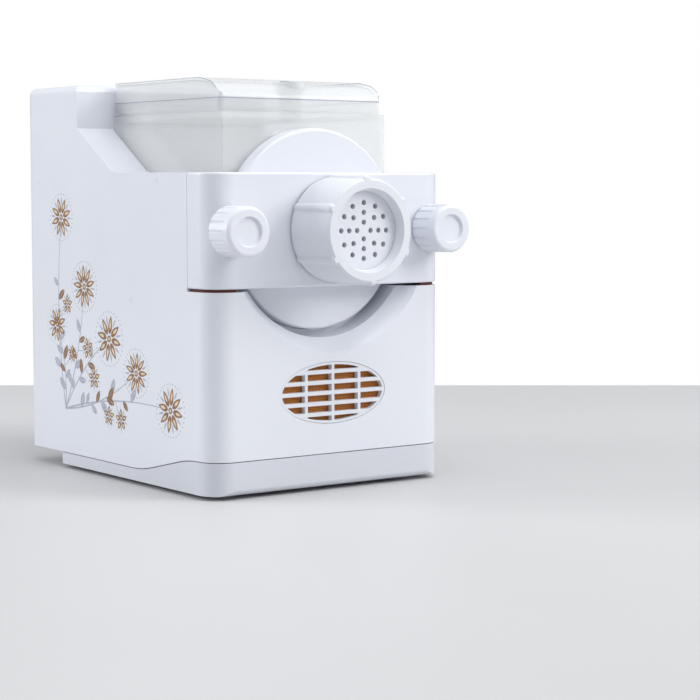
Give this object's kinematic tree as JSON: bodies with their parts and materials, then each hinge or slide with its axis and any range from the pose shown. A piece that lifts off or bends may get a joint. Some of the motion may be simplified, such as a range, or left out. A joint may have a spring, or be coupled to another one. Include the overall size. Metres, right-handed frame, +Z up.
{
  "type": "electric pasta maker",
  "caption": "Countertop electric pasta maker: white housing, clear mixing bowl and lid, kneading auger, front panel held by thumb knobs, die nut, gear drive and keys.",
  "frame": {"origin": "middle of the footprint's bounding box at table level, under the feet", "axes": "-Y is the front with the die nut, +X is to the right seen from the front, +Z is up"},
  "size_m": [0.204, 0.3078, 0.285],
  "materials": {
    "white_gloss": "moulded gloss white",
    "white_satin": "moulded satin white",
    "base_grey": "moulded pale grey",
    "clear_plastic": "clear polished",
    "soft_rubber": "moulded rubber",
    "seal_silicone": "translucent silicone",
    "amber_pad": "porous amber pad",
    "steel": "turned steel",
    "zinc_sheet": "plated sheet",
    "bronze": "sintered bronze",
    "gear_nylon": "natural nylon",
    "winding": "lacquered windings and core",
    "fan_black": "moulded black",
    "panel_black": "gloss dark cover",
    "display_dark": "smoked window",
    "key_grey": "satin keys",
    "board_green": "laminate board",
    "component_grey": "board components"
  },
  "bodies": {
    "root": {"body_shell": "white_gloss", "base_tray": "base_grey", "feet": "soft_rubber", "base_screws": "steel", "vent_grille": "white_satin", "vent_filter": "amber_pad", "knob_studs": "steel", "lid_switch": "fan_black", "output_bearing": "bronze", "gearbox_front_plate": "zinc_sheet", "gearbox_rear_plate": "zinc_sheet", "motor_can": "zinc_sheet", "motor_bushes": "bronze", "motor_stator": "winding", "motor_bracket": "zinc_sheet", "control_panel": "panel_black", "display_window": "display_dark", "button_board": "board_green", "circuit_board": "board_green", "board_components": "component_grey", "power_inlet": "fan_black"},
    "bowl": {"mixing_bowl": "clear_plastic", "shaft_seal": "seal_silicone"},
    "lid": {"bowl_lid": "clear_plastic", "lid_magnet": "steel"},
    "kneader": {"auger": "white_satin"},
    "panel": {"front_panel": "white_gloss", "outlet_barrel": "white_satin", "bowl_gasket": "seal_silicone", "pasta_die": "white_satin"},
    "nut": {"die_nut": "white_satin"},
    "left_knob": {"knob_left": "white_gloss", "knob_insert_left": "bronze"},
    "right_knob": {"knob_right": "white_gloss", "knob_insert_right": "bronze"},
    "rotor": {"motor_rotor": "steel", "motor_pinion": "steel", "cooling_fan": "fan_black"},
    "countershaft": {"middle_shaft": "steel", "middle_wheel": "gear_nylon", "middle_pinion": "steel"},
    "drive": {"output_wheel": "gear_nylon", "output_shaft": "steel"},
    "power_key": {"button_1": "key_grey"},
    "start_key": {"button_2": "key_grey"},
    "plus_key": {"button_3": "key_grey"},
    "minus_key": {"button_4": "key_grey"}
  },
  "joints": [
    {"name": "bowl_slide", "type": "slide", "parent": "root", "child": "bowl", "axis": [0, -1, 0], "range_m": [0, 0.2]},
    {"name": "lid_lift", "type": "slide", "parent": "bowl", "child": "lid", "axis": [0, 0, 1], "range_m": [0, 0.06]},
    {"name": "kneader_turn", "type": "hinge", "parent": "bowl", "child": "kneader", "pos_m": [0, -0.01085, 0.1804], "axis": [0, 1, 0], "continuous": true},
    {"name": "panel_pull", "type": "slide", "parent": "bowl", "child": "panel", "axis": [0, -1, 0], "range_m": [0, 0.065]},
    {"name": "nut_turn", "type": "hinge", "parent": "panel", "child": "nut", "pos_m": [0, -0.13085, 0.1804], "axis": [0, 1, 0], "continuous": true},
    {"name": "left_knob_turn", "type": "hinge", "parent": "panel", "child": "left_knob", "pos_m": [-0.085, -0.12285, 0.1804], "axis": [0, 1, 0], "continuous": true},
    {"name": "right_knob_turn", "type": "hinge", "parent": "panel", "child": "right_knob", "pos_m": [0.085, -0.12285, 0.1804], "axis": [0, 1, 0], "continuous": true},
    {"name": "drive_turn", "type": "hinge", "parent": "root", "child": "drive", "pos_m": [0, 0.09415, 0.1804], "axis": [0, 1, 0], "continuous": true},
    {"name": "countershaft_turn", "type": "hinge", "parent": "root", "child": "countershaft", "pos_m": [0.01056, 0.08915, 0.12096], "axis": [0, 1, 0], "continuous": true},
    {"name": "rotor_turn", "type": "hinge", "parent": "root", "child": "rotor", "pos_m": [0, -0.00085, 0.068], "axis": [0, 1, 0], "continuous": true},
    {"name": "power_key_press", "type": "slide", "parent": "root", "child": "power_key", "axis": [0, 0, -1], "range_m": [0, 0.0015], "stiffness_N_per_m": 400, "springref_m": -0.001},
    {"name": "start_key_press", "type": "slide", "parent": "root", "child": "start_key", "axis": [0, 0, -1], "range_m": [0, 0.0015], "stiffness_N_per_m": 400, "springref_m": -0.001},
    {"name": "plus_key_press", "type": "slide", "parent": "root", "child": "plus_key", "axis": [0, 0, -1], "range_m": [0, 0.0015], "stiffness_N_per_m": 400, "springref_m": -0.001},
    {"name": "minus_key_press", "type": "slide", "parent": "root", "child": "minus_key", "axis": [0, 0, -1], "range_m": [0, 0.0015], "stiffness_N_per_m": 400, "springref_m": -0.001}
  ],
  "couplings": [
    {"joint": "countershaft_turn", "follows": "drive_turn", "ratio": -4.3077},
    {"joint": "rotor_turn", "follows": "drive_turn", "ratio": 21.538},
    {"joint": "kneader_turn", "follows": "drive_turn", "ratio": 1}
  ]
}
